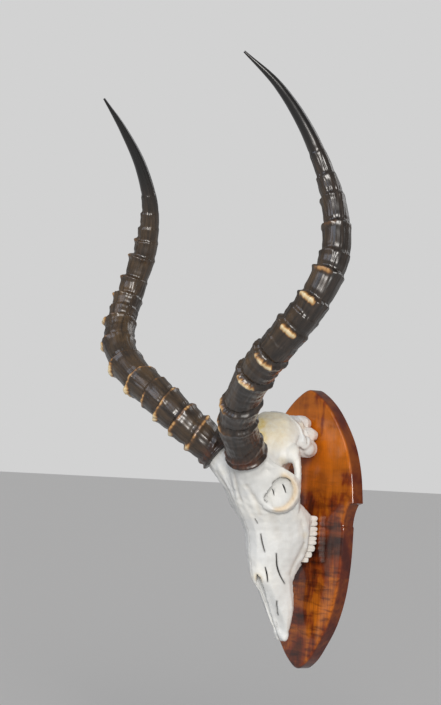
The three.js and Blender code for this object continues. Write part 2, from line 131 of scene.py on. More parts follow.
# Lines on the left half of the skull, as points near the surface, with height and half width.
RELIEF = [
    ([(13, -125, 66), (9, -121, 57), (7, -116, 47), (5, -109, 33)], 0.7, 2.4),
    ([(18, -123, 60), (14, -118, 50), (10, -112, 40), (9, -107, 30)], -1.0, 2.8),
    ([(23, -116, 50), (21, -108, 39), (22, -101, 28), (21, -95, 17)], 0.5, 3.4),
    ([(25, -110, 45), (27, -105, 39), (27, -100, 33), (26, -94, 22), (24, -90, 14)], -1.0, 3.0),
    ([(36, -96, 84), (44, -86, 74), (50, -75, 67), (54, -67, 59)], 1.0, 2.2),
    ([(30, -98, 88), (38, -88, 84), (39, -78, 76)], -0.7, 3.0),
    ([(27, -50, 123), (25, -38, 117), (29, -31, 112), (31, -25, 110)], -0.4, 1.3),
    ([(37, -44, 107), (34, -36, 103), (32, -30, 101), (33, -24, 99)], -0.4, 1.3),
    ([(40, -44, 10), (38, -40, 2), (37, -37, -6), (35, -35, -16)], -0.5, 1.6),
    ([(35, -35, -16), (31, -39, -30), (27, -43, -42), (24, -44, -52)], -1.1, 2.4),
    ([(37, -33, 12), (36, -30, -2), (34, -29, -16), (30, -32, -28)], 0.5, 1.8),
    ([(41, -62, 22), (39, -56, 14), (38, -50, 4), (36, -46, -8)], 0.8, 3.4),
    ([(34, -80, 14), (32, -74, 2), (30, -68, -12)], -0.7, 5.0),
]
# Crest across the back of the head: a thin raised edge with a groove behind it.
NUCHAL_EDGE = [(-38, -46, 98), (-38, -46, 108), (-32, -47, 117), (-26, -53, 124), (-20, -55, 127),
               (-12, -58, 131), (0, -58, 132), (12, -58, 131), (20, -55, 127), (26, -53, 124), (32, -47, 117),
               (38, -46, 108), (38, -46, 98)]
# Sutures on the left half of the skull.
SUTURES = [
    [(0, -121, 84), (0, -120, 60), (0, -108, 30), (0, -96, 8), (0, -88, -12), (0, -85, -32), (0, -78, -58)],
    [(0, -103, 114), (10, -105, 111), (20, -101, 106), (30, -95, 100)],
    [(37, -51, 106), (43, -57, 92), (47, -58, 82)],
    [(38, -45, 107), (36, -42, 94), (39, -52, 93)],
    [(30, -40, 118), (34, -36, 112), (37, -40, 106)],
    [(9, -51, -108), (8, -48, -115)],
]
# Finer lumps of bone on the left side, as (centre, radii).
SKULL_LUMPS = [
    # The side of the braincase runs down to the cheek arch in front of the ear.
    ((40, -60, 86), (9, 8, 10)), ((44, -60, 80), (6, 6, 7)), ((34, -67, 83), (8, 10, 11)),
    # The plate behind the ear runs on from the crest.
    ((37, -43, 98), (6, 8, 9)), ((35, -36, 91), (6, 8, 8)),
    # The snout ends in two blunt lobes.
    ((8.3, -38, -120.5), (4.2, 4.6, 7.5)),
]
# Open slits between the bones of the face, as (points, width).
FACE_SLITS = [
    ([(16, -91, 10), (17, -88, 4)], 1.4),
    ([(16, -82, -7), (16, -80, -16), (18, -77, -27)], 1.8),
    ([(25, -66, -28), (24, -64, -38), (23, -62, -44), (22, -57, -53), (21, -50, -62)], 1.8),
    ([(16, -74, -44), (16, -71, -53), (15, -69, -61)], 1.6),
    ([(16, -56, -82), (14, -55.5, -90), (13, -55, -96), (12, -53, -100)], 1.9),
]
BLADE_OUT, BLADE_DEPTH = 1.6, 5.0  # how far a slit's cutter stands out of the bone and reaches into it
ORBIT_CENTRE = (43, -82, 40)
ORBIT_FACING = (0.88, -0.46, -0.1)
ORBIT_FRONT = (-0.41, -0.857, 0.315)  # across the opening, towards the nose
ORBIT_UP = (0.231, 0.236, 0.943)
# Bone in front of the socket's rim, and the thin disc that fills the socket, as ((forward, up, out), radii).
ORBIT_LUMP = ((23.5, 2, -4.2), (9, 15, 6))
ORBIT_PLUG = ((-1.9, 2.6, -2.7), (19, 19, 4.5))
ORBIT_DEPTH = 9
ORBIT_DEEPEST = (3, 3)  # (forward, up) in the plane of the opening
# Outline of the opening, as (forward, up).
ORBIT_OUTLINE = [
    (10.7, -9.8), (10.9, -7.3), (9.8, -3.5), (8, 4.9), (7.9, 9.8), (6.1, 12.9), (2.7, 17.1), (-3.1, 19.2),
    (-8, 18.8), (-12.2, 15.2), (-16.2, 9), (-17.5, 2.7), (-16.2, -3.4), (-13, -9.4), (-8.2, -13.8),
    (-3, -15.6), (3.3, -14.3), (8.2, -12.4),
]
ORBIT_POINTS = 72
# Loops of the scoop that opens the socket: those above the bone as (share of the outline, height over it),
# and the shares of those below, whose depth follows from the share.
SCOOP_ABOVE = [(1.1, 9), (1.03, 2.5), (1, 0)]
SCOOP_BELOW = [0.93, 0.82, 0.65, 0.45, 0.22]
# Cracks in the thin bone, as (points, width, depth).
ORBIT_CRACKS = [
    ([(5.1, 2.3), (2.1, -0.8), (-0.1, -4.2)], 1.5, -8), ([(-3.3, 11.6), (-7.3, 8), (-10.9, 3.4)], 1.9, -5.4),
]
BONE_NOISE = [(60, 0.6), (170, 0.35), (480, 0.13)]  # unevenness of the bone, as (fineness per metre, height)
# Height and half width of the crest at the back of the head, of the groove behind it and of a suture.
NUCHAL_LINES = (0.9, 1.2), (-0.9, 1.3)
SUTURE_LINE = (-0.5, 0.8)
SNOUT_DRAW = 0.42  # share by which the front edges of the snout come together
SNOUT_LIFT = 3.0
# Where fat has stained the bone, as (centre, radius, strength).
CREAM_PATCHES = [
    ((14, -102, 121), 32, 1.3), ((27, -99, 102), 19, 1.0), ((22, -84, 118), 46, 0.62),
    ((8, -122, 62), 12, 0.1), ((41, -60, 88), 12, 0.25), ((34, -70, 78), 11, 0.35), ((34, -36, -6), 8, 0.25),
    ((7, -78, -56), 9, 0.3), ((24, -38, 118), 9, 0.25),
]
# Painted shade, given in the same way, in the corners of the nose and palate.
HOLLOW_SHADE_PATCHES = [((6, -73, -57), 8, 0.75), ((33, -34, -24), 6, 0.3)]
# Line along the lower rim of the socket, where the bone is beige.
BEIGE_RIM = [(51, -78, 59), (54, -71, 55), (56, -66, 47), (54, -66, 37), (52, -69, 30), (49, -74, 24),
             (45, -82, 21)]

TEETH_PER_ROW = 6
CROWN_WEAR = [8, 4.5, 1.8, 0.6, 0.2, 0.6]  # how much shorter each tooth is than its solid, from the front
MOLAR_LENGTH = 9  # a longer crown has two lobes

# The camera stands in front of the animal's left side and looks slightly up.
CAMERA_PLACE = (1711.7, -1204.0, 64.1)
CAMERA_TURN = 58.08  # degrees from looking straight at the wall
CAMERA_RISE = 3.68
CAMERA_ROLL = 2.92
SENSOR_HEIGHT = 24.0
LENS = 61.28

# ------------------------------------------------------------------ colours and nodes


def linear(code):
    """An sRGB hex colour as the linear colour that Blender works with."""
    channels = [int(code[i:i + 2], 16) / 255 for i in (1, 3, 5)]
    return (*[c / 12.92 if c <= 0.04045 else ((c + 0.055) / 1.055) ** 2.4 for c in channels], 1.0)


def shade(colour, factor):
    """A colour made darker, or lighter where the factor is over 1."""
    return (*[min(channel * factor, 1.0) for channel in colour[:3]], 1.0)


def per_mm(size):
    """Noise or wave scale on Object coordinates, which are metres, for a pattern of this size in mm."""
    return 1 / (size * MM)


def add(tree, kind, inputs=None, **settings):
    """Adds a node with its settings, and its input values or links."""
    node = tree.nodes.new(kind)
    for name, value in settings.items():
        setattr(node, name, value)
    for socket, value in (inputs or {}).items():
        if isinstance(value, bpy.types.NodeSocket):
            tree.links.new(value, node.inputs[socket])
        else:
            node.inputs[socket].default_value = value
    return node


def ramp(tree, factor, stops):
    """Colour ramp over (position, colour) stops, where a colour is a hex code or linear values."""
    node = add(tree, "ShaderNodeValToRGB", {"Fac": factor})
    elements = node.color_ramp.elements
    for index, (position, colour) in enumerate(stops):
        element = elements[index] if index < 2 else elements.new(position)
        element.position = position
        element.color = linear(colour) if isinstance(colour, str) else colour
    return node.outputs["Color"]


def mix(tree, factor, low, high, blend="MIX"):
    node = add(tree, "ShaderNodeMix", {0: factor, 6: low, 7: high}, data_type="RGBA", blend_type=blend)
    return node.outputs[2]


def math_node(tree, operation, *values):
    return add(tree, "ShaderNodeMath", dict(enumerate(values)), operation=operation).outputs[0]


def product(tree, value, factor):
    return math_node(tree, "MULTIPLY", value, factor)


def product_plus(tree, value, factor, extra):
    return math_node(tree, "MULTIPLY_ADD", value, factor, extra)


def span(tree, value, low, high, to_low=0.0, to_high=1.0):
    """Maps a range of values to another, clamped."""
    return add(tree, "ShaderNodeMapRange", {
        "Value": value, "From Min": low, "From Max": high, "To Min": to_low, "To Max": to_high}).outputs[0]


def fine_noise(tree, vector, size, detail=4.0, roughness=0.55, distortion=0.0):
    node = add(tree, "ShaderNodeTexNoise", {
        "Vector": vector, "Scale": per_mm(size), "Detail": detail, "Roughness": roughness,
        "Distortion": distortion})
    return node.outputs["Fac"]


def stretched(tree, vector, scale, turn=(0, 0, 0)):
    """Coordinates turned and scaled, so that a pattern is drawn out along one direction."""
    angles = tuple(map(math.radians, turn))
    return add(tree, "ShaderNodeMapping", {"Vector": vector, "Rotation": angles, "Scale": scale}).outputs[0]


def marked(tree, name):
    """A value that is stored on the points of the mesh."""
    return add(tree, "ShaderNodeAttribute", attribute_name=name).outputs["Fac"]


def new_material(name):
    """An empty node material with its Principled shader, as (material, tree, shader)."""
    material = bpy.data.materials.new(name)
    material.use_nodes = True
    tree = material.node_tree
    tree.nodes.clear()
    shader = add(tree, "ShaderNodeBsdfPrincipled")
    add(tree, "ShaderNodeOutputMaterial", {"Surface": shader.outputs["BSDF"]})
    return material, tree, shader


def link(tree, shader, **values):
    """Sets the shader's sockets, whose names are given with underscores for spaces."""
    for name, value in values.items():
        socket = shader.inputs[name.replace("_", " ")]
        if isinstance(value, bpy.types.NodeSocket):
            tree.links.new(value, socket)
        else:
            socket.default_value = value


def bleached_bone(settings):
    """Boiled and bleached bone: chalky white and matt, with fine pores and a little cream from fat."""
    material, tree, shader = new_material("bleached_bone_matt")
    place = add(tree, "ShaderNodeTexCoord").outputs["Object"]
    clouds = fine_noise(tree, place, 34, detail=5)
    flecks = fine_noise(tree, place, 5, detail=6, roughness=0.65)
    white = tuple(settings.bone_colour)
    colour = ramp(tree, clouds, [(0.3, shade(white, 0.9)), (0.5, white), (0.72, "#f2f2ee")])
    stained = ramp(tree, flecks, [(0.25, "#d3ab4e"), (0.5, tuple(settings.cream_colour)), (0.75, "#efe2bd")])
    patchy = product(tree, marked(tree, "cream"), span(tree, clouds, 0.28, 0.55, 0.6, 1.0))
    colour = mix(tree, patchy, colour, stained)
    rim = ramp(tree, flecks, [(0.3, "#d2b184"), (0.6, "#e3cda9")])
    colour = mix(tree, marked(tree, "beige"), colour, rim)
    # Painted shade: the furrows, dips and corners of the nose and palate are darkened.
    hollow = product(tree, marked(tree, "hollow"), span(tree, flecks, 0.25, 0.6, 0.5, 1.0))
    colour = mix(tree, hollow, colour, linear("#a08a68"))
    specks = span(tree, flecks, 0.34, 0.22, 0.0, 0.25)
    colour = mix(tree, specks, colour, linear("#b39b73"))
    # Painted shade inside and along the slits and at the socket's edge, together with the real dark sutures.
    colour = mix(tree, marked(tree, "crack"), colour, linear("#2b2723"))
    pores = fine_noise(tree, place, 1.1, detail=3, roughness=0.7)
    grain = fine_noise(tree, place, 7, detail=6, roughness=0.6)
    height = product_plus(tree, grain, 2.0, pores)
    bump = add(tree, "ShaderNodeBump", {"Strength": 0.4, "Distance": 0.4 * MM, "Height": height})
    link(tree, shader, Base_Color=colour, Roughness=span(tree, grain, 0.3, 0.7, 0.46, 0.66),
         Normal=bump.outputs["Normal"], IOR=1.54)
    return material


def keratin_horn(settings):
    """Horn sheath of keratin, grown in rings: dark brown, fibrous and satin, its crests rubbed to cream."""
    material, tree, shader = new_material("keratin_horn_satin")
    around = add(tree, "ShaderNodeUVMap", uv_map="sheath").outputs["UV"]
    place = add(tree, "ShaderNodeTexCoord").outputs["Object"]
    # Fibres run along the horn, so their pattern is drawn out that way.
    fibres = fine_noise(tree, stretched(tree, around, (1.0, 0.06, 1.0)), 2.2, 4, 0.6, 0.3)
    streaks = fine_noise(tree, stretched(tree, around, (1.0, 0.2, 1.0)), 7, 5, 0.6, 0.8)
    patches = fine_noise(tree, place, 30, detail=4)
    body = tuple(settings.body_colour)
    olive = tuple(settings.front_weathered_and_lit_colour)
    dark = ramp(tree, streaks, [(0.3, shade(body, 0.4)), (0.5, body), (0.72, shade(body, 2.6))])
    brown = ramp(tree, streaks, [(0.28, shade(olive, 0.3)), (0.5, olive), (0.75, shade(olive, 1.7))])
    # The front and inner side is lighter olive-brown: partly the horn's weathered colour, partly painted
    # light where the light falls.
    front_light_and_weathering = product(tree, marked(tree, "front"), span(tree, patches, 0.36, 0.62, 0.15, 1.0))
    colour = mix(tree, front_light_and_weathering, dark, brown)
    # The youngest horn, just above the skull, has a warm band.
    colour = mix(tree, marked(tree, "root"), colour, ramp(
        tree, streaks, [(0.3, "#0e0a08"), (0.52, "#2a1c13"), (0.75, "#4d3524")]))
    colour = mix(tree, product(tree, marked(tree, "band"), span(tree, streaks, 0.35, 0.55)), colour,
                 linear("#6b3416"))
    rubbed = product(tree, marked(tree, "worn"), span(tree, streaks, 0.3, 0.5, 0.7, 1.0))
    cream = tuple(settings.crest_colour)
    pad = ramp(tree, rubbed, [(0.04, "#3a2a1b"), (0.2, "#7a532c"), (0.42, "#b98a52"), (0.66, cream),
                              (0.95, "#eedbb4")])
    colour = mix(tree, span(tree, rubbed, 0.04, 0.34), colour, pad)
    colour = mix(tree, marked(tree, "tip"), colour, linear("#0a0807"))
    height = product_plus(tree, streaks, 2.0, fibres)
    smooth = span(tree, marked(tree, "tip"), 0, 1, 0.4, 0.04)
    bump = add(tree, "ShaderNodeBump", {"Strength": smooth, "Distance": 0.4 * MM, "Height": height})
    matt = span(tree, patches, 0.35, 0.65, 0.28, 0.4)
    rough = product_plus(tree, marked(tree, "worn"), 0.25, matt)
    rough = product_plus(tree, marked(tree, "tip"), -0.1, rough)
    link(tree, shader, Base_Color=colour, Roughness=rough, Normal=bump.outputs["Normal"], IOR=1.52,
         Coat_Weight=0.75, Coat_Roughness=0.27)
    return material


def lacquered_wood(settings):
    """Figured hardwood, stained amber to red-brown under gloss lacquer, with darker smoky flames."""
    material, tree, shader = new_material("figured_hardwood_gloss_lacquer")
    place = add(tree, "ShaderNodeTexCoord").outputs["Object"]
    amber = tuple(settings.amber_colour)
    brown = tuple(settings.brown_colour)
    dark = tuple(settings.dark_colour)
    # The grain runs up the board, so the pattern is drawn out along Z.
    grain = fine_noise(tree, stretched(tree, place, (1.0, 1.0, 0.04)), 2.6, 4, 0.55, 0.4)
    flames = fine_noise(tree, stretched(tree, place, (1.0, 1.0, 0.55), (0, 28, 0)), 38, 5, 0.55, 1.0)
    curl = fine_noise(tree, stretched(tree, place, (0.16, 1.0, 1.0), (0, -12, 0)), 5.5, 3, 0.5, 0.5)
    streaks = fine_noise(tree, stretched(tree, place, (1.0, 1.0, 0.12)), 15, 3, 0.5, 0.5)
    bands = fine_noise(tree, stretched(tree, place, (0.25, 1.0, 1.0), (0, -22, 0)), 24, 3, 0.5, 0.6)
    high = add(tree, "ShaderNodeSeparateXYZ", {"Vector": place}).outputs["Z"]
    # A darker, smoky band crosses the board below its middle, and the top is the lightest part.
    tone = ramp(tree, span(tree, high, PLAQUE_BOTTOM[1] * MM, PLAQUE_TOP[1] * MM),
                [(at, (grey, grey, grey, 1)) for at, grey in WOOD_LEVELS])
    for pattern, weight in ((flames, 1.25), (bands, 1.1), (streaks, 0.35)):
        tone = product_plus(tree, math_node(tree, "SUBTRACT", pattern, 0.5), weight, tone)
    colour = ramp(tree, tone, [
        (0.1, dark), (0.24, shade(brown, 0.4)), (0.4, brown), (0.58, amber), (0.85, shade(amber, 1.4))])
    # Curl: short bright and dim bars across the grain.
    ripple = ramp(tree, curl, [(0.36, "#b5aca6"), (0.5, "#ffffff")])
    figured = span(tree, high, 0.07, 0.01, 0.15, 0.9)
    colour = mix(tree, figured, colour, ripple, blend="MULTIPLY")
    glow = ramp(tree, curl, [(0.52, "#000000"), (0.68, "#6b3c0a")])
    colour = mix(tree, product(tree, figured, 0.3), colour, glow, blend="ADD")
    lines = ramp(tree, grain, [(0.3, "#a08674"), (0.6, "#ffffff")])
    colour = mix(tree, product_plus(tree, figured, 0.4, 0.12), colour, lines, blend="MULTIPLY")
    # The side of the board, picked by the way its surface faces, is painted darker as shade.
    normal = add(tree, "ShaderNodeNewGeometry").outputs["Normal"]
    facing = math_node(tree, "ABSOLUTE", add(tree, "ShaderNodeSeparateXYZ", {"Vector": normal}).outputs["Y"])
    colour = mix(tree, span(tree, facing, 0.8, 0.15, 0.0, 0.75), colour, shade(dark, 1.6))
    bump = add(tree, "ShaderNodeBump", {"Strength": 0.1, "Distance": 0.08 * MM, "Height": grain})
    link(tree, shader, Base_Color=colour, Roughness=0.45, Normal=bump.outputs["Normal"], IOR=1.5,
         Specular_IOR_Level=0.1, Coat_Weight=1.0, Coat_Roughness=0.09, Coat_IOR=1.45)
    return material


def tooth_enamel(settings):
    """Tooth enamel: hard, glossy and cream white, browned by tartar near the bone and in the folds."""
    material, tree, shader = new_material("tooth_enamel_gloss")
    place = add(tree, "ShaderNodeTexCoord").outputs["Object"]
    streaks = fine_noise(tree, stretched(tree, place, (1.0, 0.25, 1.0)), 2.2, 5)
    white = tuple(settings.enamel_colour)
    enamel = ramp(tree, streaks, [(0.3, shade(white, 0.85)), (0.55, white), (0.75, "#f6f4ee")])
    colour = mix(tree, marked(tree, "stain"), enamel, linear("#8f7350"))
    bump = add(tree, "ShaderNodeBump", {"Strength": 0.3, "Distance": 0.15 * MM, "Height": streaks})
    link(tree, shader, Base_Color=colour, Roughness=0.3, Normal=bump.outputs["Normal"], IOR=1.62)
    return material


# ------------------------------------------------------------------ shared shaping


def linked_object(name, data):
    made = bpy.data.objects.new(name, data)
    bpy.context.scene.collection.objects.link(made)
    return made


def mesh_object(bm, name):
    """Object at the origin from a bmesh, which is freed."""
    mesh = bpy.data.meshes.new(name)
    bm.to_mesh(mesh)
    bm.free()
    return linked_object(name, mesh)


def finish_piece(bm, name, material, slot, *nodes):
    """Turns a bmesh in metres into a smooth-shaded piece that stands for CAD nodes and rides on the mount."""
    for face in bm.faces:
        face.smooth = True
    piece = mesh_object(bm, name)
    piece.data.materials.clear()
    piece.data.materials.append(material)
    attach(piece, "root")
    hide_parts(*nodes)
    return piece


def smooth_step(low, high, value):
    part = min(max((value - low) / (high - low), 0.0), 1.0)
    return part * part * (3 - 2 * part)


def bell(value, width):
    """1 at zero, falling to about a third at the width on both sides."""
    return math.exp(-(value / width) ** 2)


def wander(point):
    """Smoothly changing random vector for a place, the same in every run."""
    return Vector([noise.noise(point + Vector((shift, 0, 0))) for shift in (0.0, 31.4, 57.2)])


def spline(points, spans):
    """Centripetal Catmull-Rom curve through points, with a number of spans between each two of them."""
    points = [Vector(p) for p in points]
    padded = [2 * points[0] - points[1], *points, 2 * points[-1] - points[-2]]
    result = []
    for p0, p1, p2, p3 in zip(padded, padded[1:], padded[2:], padded[3:]):
        d0, d1, d2 = [max((b - a).length, 1e-6) ** 0.5 for a, b in ((p0, p1), (p1, p2), (p2, p3))]
        start = ((p1 - p0) / d0 - (p2 - p0) / (d0 + d1) + (p2 - p1) / d1) * d1
        end = ((p2 - p1) / d1 - (p3 - p1) / (d1 + d2) + (p3 - p2) / d2) * d1
        for step in range(spans):
            t = step / spans
            result.append(
                p1 + start * t + (3 * (p2 - p1) - 2 * start - end) * t ** 2
                + (2 * (p1 - p2) + start + end) * t ** 3)
    return result + [points[-1]]


def table_value(table, at):
    """Value at a place in a list of (place, value) pairs, in a straight line between them."""
    for (before, low), (after, high) in zip(table, table[1:]):
        if at <= after:
            return low + (high - low) * (at - before) / (after - before)
    return table[-1][1]


class Route:
    """A curve that is read by the distance along it."""

    def __init__(self, points):
        self.points = spline(points, 60)
        self.distances = [0.0]
        for a, b in zip(self.points, self.points[1:]):
            self.distances.append(self.distances[-1] + (b - a).length)
        self.length = self.distances[-1]
        self.index = 0

    def place(self, distance):
        """Point and direction at a distance, quick when distances are asked for in rising order."""
        if self.distances[self.index] > distance:
            self.index = 0
        while self.index < len(self.points) - 2 and self.distances[self.index + 1] < distance:
            self.index += 1
        low, high = self.distances[self.index], self.distances[self.index + 1]
        a, b = self.points[self.index], self.points[self.index + 1]
        return a.lerp(b, (distance - low) / (high - low)), (b - a).normalized()


def wrapped_grid(bm, columns, rows, place, uv_name=None, uv_size=(1.0, 1.0)):
    """A grid rolled into a closed tube: place(turn, rise) gives the point for two fractions from 0 to 1."""
    made = bmesh.ops.create_grid(bm, x_segments=columns, y_segments=rows, size=0.5, calc_uvs=False)
    fractions = {vert: (vert.co.x + 0.5, vert.co.y + 0.5) for vert in made["verts"]}
    if uv_name:
        layer = bm.loops.layers.uv.new(uv_name)
        for face in bm.faces:
            for loop in face.loops:
                turn, rise = fractions[loop.vert]
                loop[layer].uv = (turn * uv_size[0], rise * uv_size[1])
    for vert, (turn, rise) in sorted(fractions.items(), key=lambda item: item[1][1]):
        vert.co = place(turn, rise)
    return fractions


def close_up(bm, merge):
    bmesh.ops.remove_doubles(bm, verts=bm.verts, dist=merge)
    bmesh.ops.holes_fill(bm, edges=[edge for edge in bm.edges if edge.is_boundary], sides=0)
    bmesh.ops.recalc_face_normals(bm, faces=bm.faces)


# ------------------------------------------------------------------ horns


def turned(angle, middle):
    """Angle between two directions around the horn."""
    return abs((angle - middle + math.pi) % (2 * math.pi) - math.pi)


def ring_relief(rings, crest_share, pad_reach, distance, angle, seed):
    """Height of the rings at a place on the horn, and how far the horn is rubbed pale there.

    The angle is counted from the front towards the outer side. Crests are worn by `crest_share`, and a pad
    reaches `pad_reach` radians to both sides.
    """
    facing = 0.5 + 0.5 * math.cos(angle - RING_TURN)
    back = table_value(RING_BACK_SHARE, distance)
    strength = back + (1 - back) * facing ** 1.3
    rubbed_zone = smooth_step(*PAD_START, distance) * (1 - 0.8 * smooth_step(*PAD_FADE, distance))
    line_zone = crest_share * smooth_step(*LINE_START, distance)
    line_zone *= 0.35 + 0.65 * smooth_step(*LINE_FADE, distance)
    height = 0.0
    worn = 0.0
    for number, (at, size) in enumerate(rings):
        offset = distance - at
        if not RING_REACH[0] < offset < RING_REACH[1]:
            continue
        key = Vector((math.cos(angle) * 1.3, math.sin(angle) * 1.3, number * 3.7 + seed))
        offset += table_value(RING_TILTS, at) * math.cos(angle)
        offset += 1.5 * noise.noise(key) + 0.8 * noise.noise(key * 4.1)
        knobs = 0.85 + 0.5 * noise.noise(key * 2.9)
        # The horn swells towards the ring, stands up in a crest and drops off steeply on the tip side.
        before, behind = CREST_WIDTHS
        crest = bell(offset, before if offset < 0 else behind + CREST_BLUNTER * smooth_step(130, 90, at))
        sides = sum(share * bell(offset - place, width) for place, width, share in (RING_SWELL, RING_GROOVE))
        height += size * strength * (knobs * crest + sides)
        middle = PAD_TURN + 0.35 * noise.noise(Vector((number * 5.1, seed, 0)))
        ragged = turned(angle, middle) + 0.3 * noise.noise(key * 5)
        pad = smooth_step(pad_reach, pad_reach - 0.36, ragged) * smooth_step(2.3, 3.4, size)
        pad *= rubbed_zone
        height += PAD_HEIGHT * pad * bell(offset + 1.6, 2.6) * (0.75 + 0.7 * noise.noise(key * 6.5))
        ragged = offset + 1.7 + 1.2 * noise.noise(key * 7.3)
        knob = max(smooth_step(0.5, 0.12, turned(angle, middle_knob)) for middle_knob in KNOB_TURNS)
        knob *= smooth_step(1.8, 2.8, size)
        uneven = 0.62 + 0.9 * noise.noise(key * 1.7 + Vector((0, 0, 5)))
        line = line_zone * (uneven * strength * knobs + 0.7 * knob) * bell(offset + 0.6, 1.7 + 1.6 * knob)
        height += line_zone * KNOB_HEIGHT * knob * bell(offset + 0.3, 2.4)
        worn = max(worn, pad * bell(ragged, 2.5) * (1.05 + 0.3 * noise.noise(key * 9)),
                   line * (0.9 + 0.7 * noise.noise(key * 8)) * smooth_step(1.4, 3.0, size))
        if LOW_RUB_ZONE[0] < at < LOW_RUB_ZONE[1]:
            low_rub = (1 - crest_share) * smooth_step(0.75, 0.2, turned(angle, LOW_RUB_TURN))
            worn = max(worn, low_rub * bell(ragged, 3.0) * (1 + 0.4 * noise.noise(key * 9)))
    return height, worn


def horn_piece(name, rings, crest_share, pad_reach, side, seed, settings, material):
    """Horn sheath with its rings: a tube along the horn's route, closed at both ends."""
    route = Route(HORN_PATH)
    bm = bmesh.new()
    end = route.length - 1  # the last millimetre is left off, so that the tip is blunt
    last_ring = rings[-1][0]
    marks = [bm.verts.layers.float.new(mark) for mark in ("worn", "tip", "front", "root", "band")]
    values = {}
    drop = RIGHT_TIP_DROP / (HORN_PATH[-1][2] - HORN_PATH[0][2]) if side < 0 else 0.0
    base_z = HORN_PATH[0][2]
    stations = {}

    def station(rise):
        if rise not in stations:
            point, along = route.place(rise * end)
            forward = Vector((0, -1, 0))
            forward = (forward - along * forward.dot(along)).normalized()
            stations[rise] = (point, forward, along.cross(forward))
        return stations[rise]

    def place(turn, rise):
        distance = rise * end
        angle = turn * 2 * math.pi
        point, forward, across = station(rise)
        direction = forward * math.cos(angle) + across * math.sin(angle)
        relief, rubbed = ring_relief(rings, crest_share, pad_reach, distance, angle, seed)
        taper = table_value(HORN_DIAMETERS, distance) / 2
        grown = smooth_step(last_ring + 30, last_ring - 30, distance)
        key = Vector((math.cos(angle) * taper, math.sin(angle) * taper, seed))
        wrinkles = (0.07, 0.2, WRINKLE_HEIGHTS[side] * smooth_step(*WRINKLE_ZONE, distance))
        surface = sum(height * noise.noise(key * across + Vector((0, 0, distance * along)))
                      for across, along, height in (*SHEATH_NOISE, wrinkles))
        rim = sum(height * bell(distance - at, width) for at, width, height in SHEATH_RIM)
        radius = taper + relief + rim + grown * surface
        result = point + direction * radius
        result.z = base_z + (result.z - base_z) * (1 - drop)
        result.x *= side
        # How much the front and inner side is painted lighter: partly weathering, partly painted light.
        front = smooth_step(-0.25, 0.85, math.cos(angle + math.radians(48)))
        values[(turn, rise)] = (
            min(rubbed, 1.0), smooth_step(last_ring - 30, last_ring + 40, distance),
            front * smooth_step(440, 330, distance) * (1 - 0.55 * bell(distance - 80, 45)),
            smooth_step(34, 10, distance),
            bell(distance - 8.5, 4) * smooth_step(0.1, 0.9, math.cos(angle - math.radians(30)))
            * (1 if side > 0 else 0.4))
        return result * MM

    fractions = wrapped_grid(bm, settings.around, settings.rows, place, "sheath",
                             (math.pi * HORN_DIAMETERS[0][1] * MM, route.length * MM))
    for vert, key in fractions.items():
        for mark, value in zip(marks, values[key]):
            vert[mark] = value
    close_up(bm, 0.02 * MM)
    return finish_piece(bm, name, material, "horn_sheath", "horn_left" if side > 0 else "horn_right")


# ------------------------------------------------------------------ skull


def unique(verts, links):
    """Edges or faces of some vertices, each once and always in the same order."""
    return list(dict.fromkeys(item for vert in verts for item in getattr(vert, links)))


def lump(bm, centre, radii, facing=(0, 0, 1), disc=False):
    """Ellipsoid or disc of bone on the left side and its mirror image, its last radius along `facing`."""
    turn = Vector(facing).to_track_quat("Z", "Y").to_matrix().to_4x4()
    shape = Matrix.Translation(Vector(centre) * MM) @ turn @ Matrix.Diagonal((*[r * MM for r in radii], 1))
    for side in (1, -1):
        place = Matrix.Diagonal((side, 1, 1, 1)) @ shape
        if disc:
            made = bmesh.ops.create_cone(
                bm, cap_ends=True, segments=64, radius1=1.0, radius2=1.0, depth=2.0, matrix=place)
        else:
            made = bmesh.ops.create_icosphere(bm, subdivisions=4, radius=1.0, matrix=place)
        if side < 0:
            bmesh.ops.reverse_faces(bm, faces=unique(made["verts"], "link_faces"))


def evaluated(piece):
    """Mesh of a scratch object with its modifiers applied; the object is then removed."""
    graph = bpy.context.evaluated_depsgraph_get()
    mesh = bpy.data.meshes.new_from_object(piece.evaluated_get(graph))
    bpy.data.objects.remove(piece)
    return mesh


def both_sides(points):
    return [[Vector((x * side, y, z)) * MM for x, y, z in points] for side in (1, -1)]


def on_surface(tree, points, step=0.5):
    """Points laid on the surface, close together along a line."""
    result = []
    dense = spline(points, 12)
    for a, b in zip(dense, dense[1:]):
        count = max(1, round((b - a).length / (step * MM)))
        result += [tree.find_nearest(a.lerp(b, i / count))[0] for i in range(count)]
    return result


def near_line(samples):
    """Lookup of the nearest of some points."""
    lookup = KDTree(len(samples))
    for index, point in enumerate(samples):
        lookup.insert(point, index)
    lookup.balance()
    return lookup


def traced(tree, points):
    """Lookups of a line on the surface and of its mirror image."""
    return [near_line(on_surface(tree, line)) for line in both_sides(points)]


def in_orbit(forward, up, out=0.0):
    """A point by its place in the eye socket's opening."""
    return (Vector(ORBIT_CENTRE) + Vector(ORBIT_FRONT) * forward + Vector(ORBIT_UP) * up
            + Vector(ORBIT_FACING) * out)


def fused_skull(settings):
    """The CAD skull, with finer lumps of bone, rounded into one smooth skin."""
    bm = bmesh.new()
    bm.from_mesh(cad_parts["skull"].data)
    bmesh.ops.remove_doubles(bm, verts=bm.verts, dist=0.002 * MM)
    for centre, radii in SKULL_LUMPS:
        lump(bm, centre, radii)
    lump(bm, in_orbit(*ORBIT_LUMP[0]), ORBIT_LUMP[1], ORBIT_FACING)
    lump(bm, in_orbit(*ORBIT_PLUG[0]), ORBIT_PLUG[1], ORBIT_FACING, disc=True)
    piece = mesh_object(bm, "skull_blank")
    remesh = piece.modifiers.new("fuse", "REMESH")
    remesh.mode = "VOXEL"
    remesh.voxel_size = settings.voxel
    soften = piece.modifiers.new("soften", "LAPLACIANSMOOTH")
    soften.iterations = settings.passes
    soften.lambda_factor = settings.softness
    soften.use_volume_preserve = True
    return evaluated(piece)


